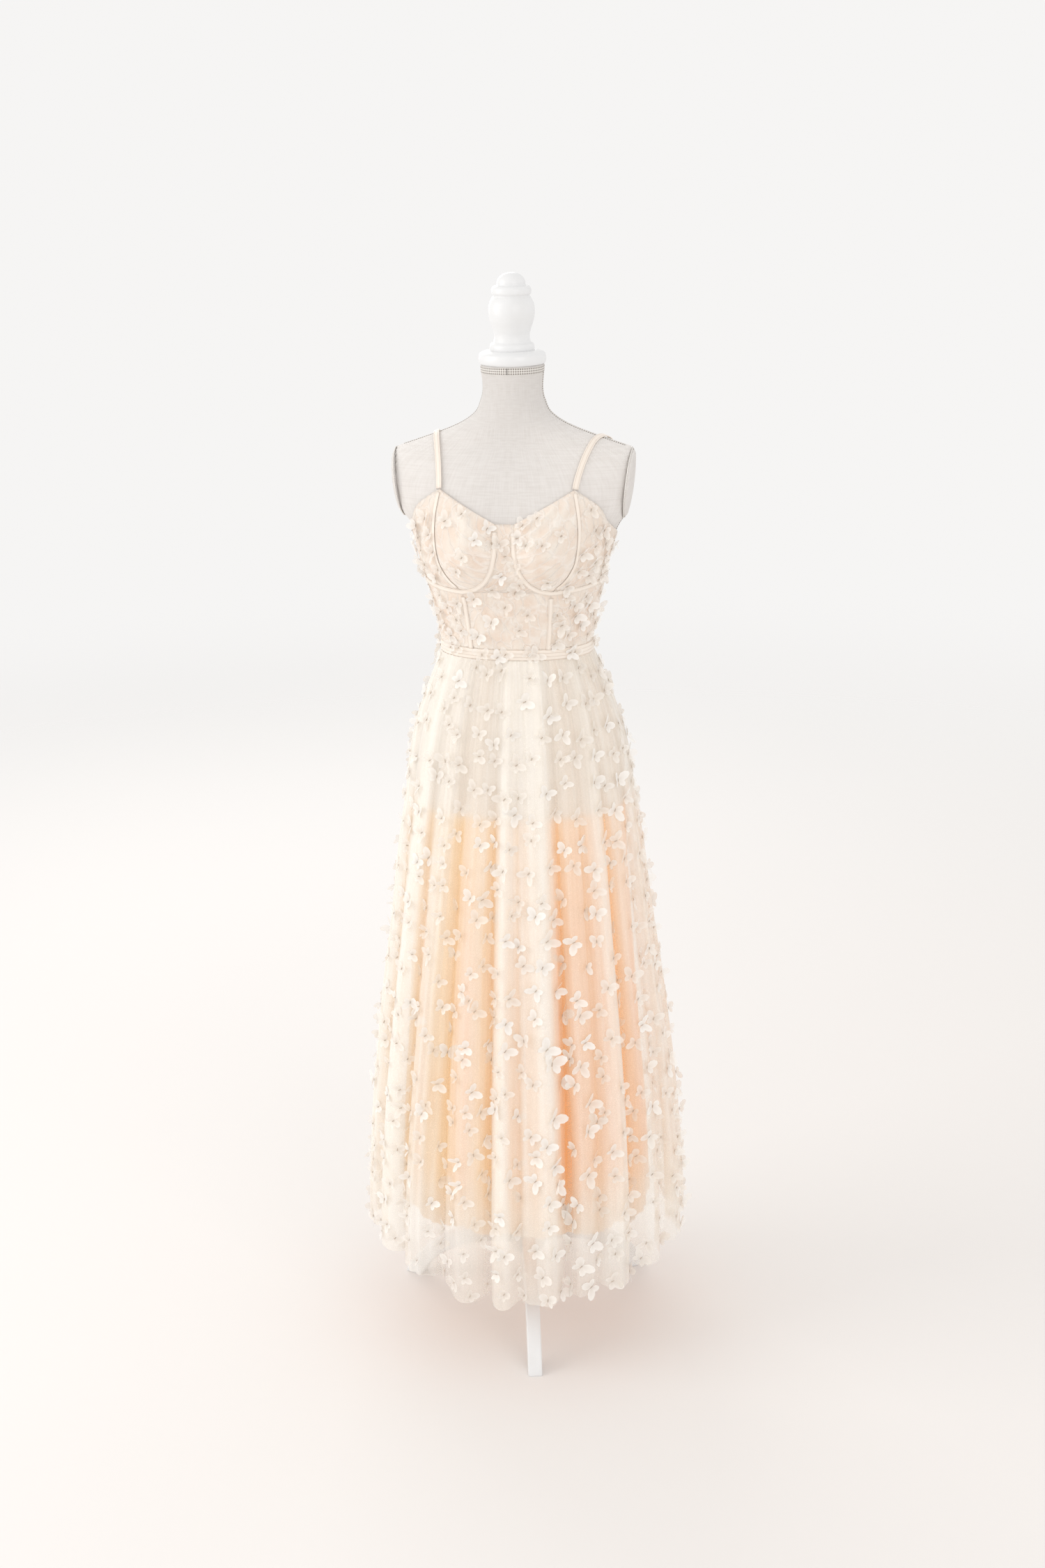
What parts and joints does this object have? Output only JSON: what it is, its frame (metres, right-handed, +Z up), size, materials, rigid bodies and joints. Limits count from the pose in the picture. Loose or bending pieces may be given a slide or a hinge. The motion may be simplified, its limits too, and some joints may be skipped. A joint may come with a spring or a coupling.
{
  "type": "tulle maxi dress on a dress form with a tripod stand",
  "caption": "Long tulle dress with butterfly applique, wired cups, thin straps and a gathered skirt over a peach lining, worn by a limbless dress form on a tripod stand.",
  "frame": {"origin": "on the floor, under the stand's pole, at the middle of the object", "axes": "+Z up along the pole, the dress faces -Y, the wearer's left is +X"},
  "size_m": [0.5458, 0.4717, 1.715],
  "materials": {
    "tulle": "sheer cream tulle with sewn organza butterflies",
    "bodice_tulle": "cream tulle over beige lining cloth, matt",
    "lining": "peach lining cloth, soft",
    "tape": "cream woven tape, slight sheen",
    "form_jersey": "pale linen-grey cover, matt",
    "white_paint": "white painted wood, satin"
  },
  "bodies": {
    "root": {"skirt_tulle_front": "tulle", "skirt_tulle_back": "tulle", "bodice_centre": "bodice_tulle", "bodice_side_left": "bodice_tulle", "bodice_side_right": "bodice_tulle", "bodice_back_left": "bodice_tulle", "bodice_back_right": "bodice_tulle", "cup_inner_left": "bodice_tulle", "cup_inner_right": "bodice_tulle", "cup_outer_left": "bodice_tulle", "cup_outer_right": "bodice_tulle", "skirt_lining_front": "lining", "skirt_lining_back": "lining", "strap_left": "tape", "strap_right": "tape", "underwire_casing_left": "tape", "underwire_casing_right": "tape", "boning_casing_left": "tape", "boning_casing_right": "tape", "waistband": "tape", "form_torso": "form_jersey", "form_arm_plate_left": "form_jersey", "form_arm_plate_right": "form_jersey", "form_neck_cap": "white_paint", "form_finial": "white_paint", "stand_pole": "white_paint", "stand_hub": "white_paint", "stand_leg_front": "white_paint", "stand_leg_left": "white_paint", "stand_leg_right": "white_paint"}
  },
  "joints": []
}
